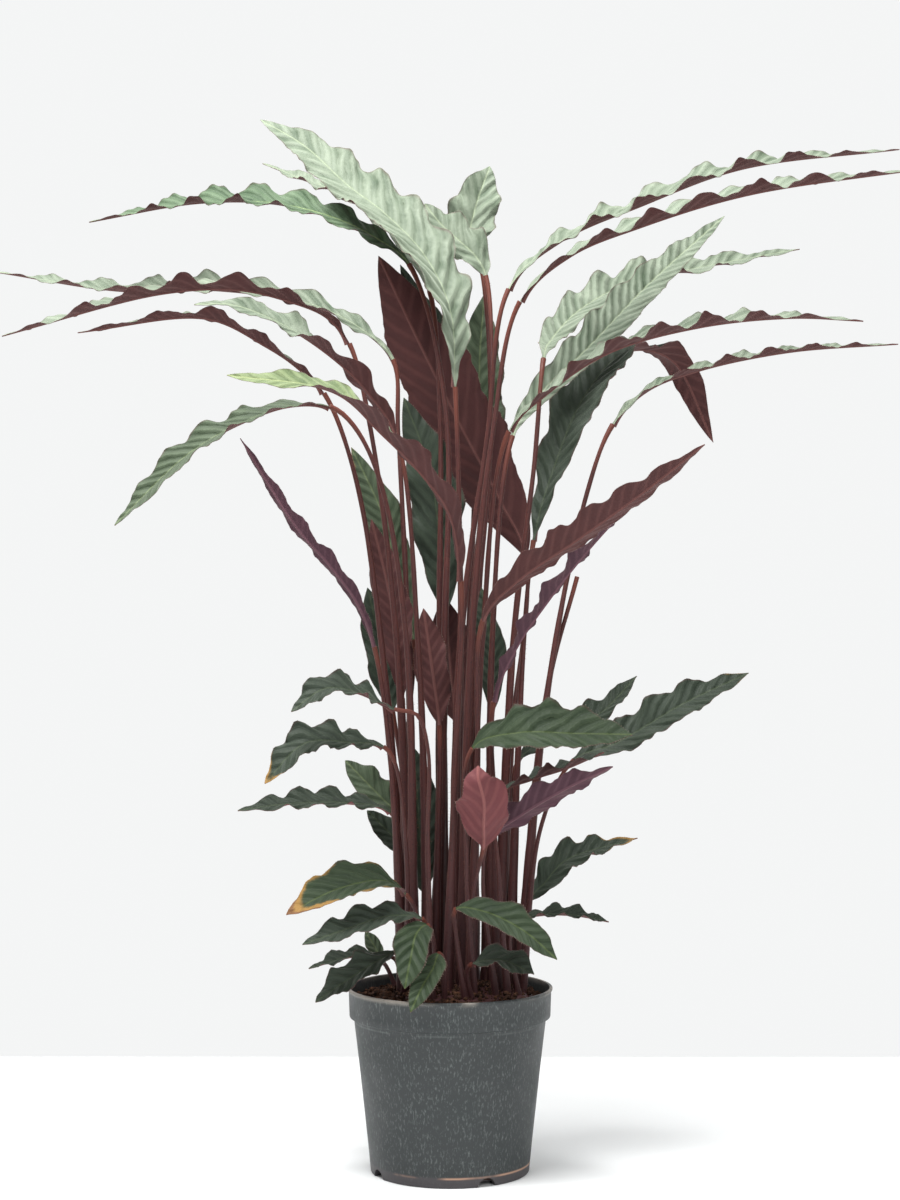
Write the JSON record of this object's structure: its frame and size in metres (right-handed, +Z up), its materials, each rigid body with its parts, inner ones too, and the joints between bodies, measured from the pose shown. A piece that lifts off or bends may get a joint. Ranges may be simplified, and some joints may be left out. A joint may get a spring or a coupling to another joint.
{
  "type": "potted furry feather calathea",
  "caption": "Tall prayer plant in a round nursery pot: a dense clump of hairy reddish stalks that end in long, narrow, wavy-edged blades with a feather pattern.",
  "frame": {"origin": "centre of the pot's underside, in the plane that the pot stands on", "axes": "+Z up along the pot's axis, +X to the right as the plant is seen from its front, -Y towards the front"},
  "size_m": [0.8905, 0.5422, 1.0105],
  "materials": {
    "pot": "satin charcoal polypropylene with fine paler flecks",
    "soil": "matt dark peat with fibres",
    "stalk": "satin red-brown, finely hairy",
    "leaf_pale": "velvety silvery green with greener feather stripes",
    "leaf_dark": "velvety dark green with faint feather stripes",
    "leaf_maroon": "velvety maroon underside"
  },
  "bodies": {
    "root": {"pot": "pot", "soil": "soil", "stems": "stalk", "leaf_right_1": "leaf_pale", "leaf_right_2": "leaf_maroon", "leaf_right_3": "leaf_pale", "leaf_right_4": "leaf_pale", "leaf_right_5": "leaf_pale", "leaf_right_6": "leaf_dark", "leaf_right_7": "leaf_maroon", "leaf_right_8": "leaf_maroon", "leaf_right_9": "leaf_maroon", "leaf_top_1": "leaf_pale", "leaf_top_2": "leaf_pale", "leaf_top_3": "leaf_pale", "leaf_top_4": "leaf_pale", "leaf_top_5": "leaf_pale", "leaf_top_6": "leaf_dark", "leaf_top_7": "leaf_maroon", "leaf_top_8": "leaf_dark", "leaf_left_1": "leaf_maroon", "leaf_left_2": "leaf_pale", "leaf_left_3": "leaf_pale", "leaf_left_4": "leaf_maroon", "leaf_left_5": "leaf_maroon", "leaf_left_6": "leaf_dark", "leaf_left_7": "leaf_maroon", "leaf_inner_1": "leaf_dark", "leaf_inner_2": "leaf_dark", "leaf_inner_3": "leaf_maroon", "leaf_inner_4": "leaf_maroon", "leaf_inner_5": "leaf_dark", "leaf_inner_6": "leaf_dark", "leaf_inner_7": "leaf_dark", "leaf_inner_8": "leaf_maroon", "leaf_low_left_1": "leaf_dark", "leaf_low_left_2": "leaf_dark", "leaf_low_left_3": "leaf_dark", "leaf_low_left_4": "leaf_pale", "leaf_low_left_5": "leaf_dark", "leaf_low_left_6": "leaf_dark", "leaf_low_left_7": "leaf_dark", "leaf_low_left_8": "leaf_dark", "leaf_low_left_9": "leaf_dark", "leaf_low_left_10": "leaf_pale", "leaf_low_front_1": "leaf_dark", "leaf_low_front_2": "leaf_dark", "leaf_low_front_3": "leaf_dark", "leaf_low_front_4": "leaf_dark", "leaf_low_front_5": "leaf_maroon", "leaf_low_right_1": "leaf_dark", "leaf_low_right_2": "leaf_dark", "leaf_low_right_3": "leaf_dark", "leaf_low_right_4": "leaf_maroon", "leaf_low_right_5": "leaf_dark", "leaf_low_right_6": "leaf_dark", "leaf_low_right_7": "leaf_dark"}
  },
  "joints": []
}
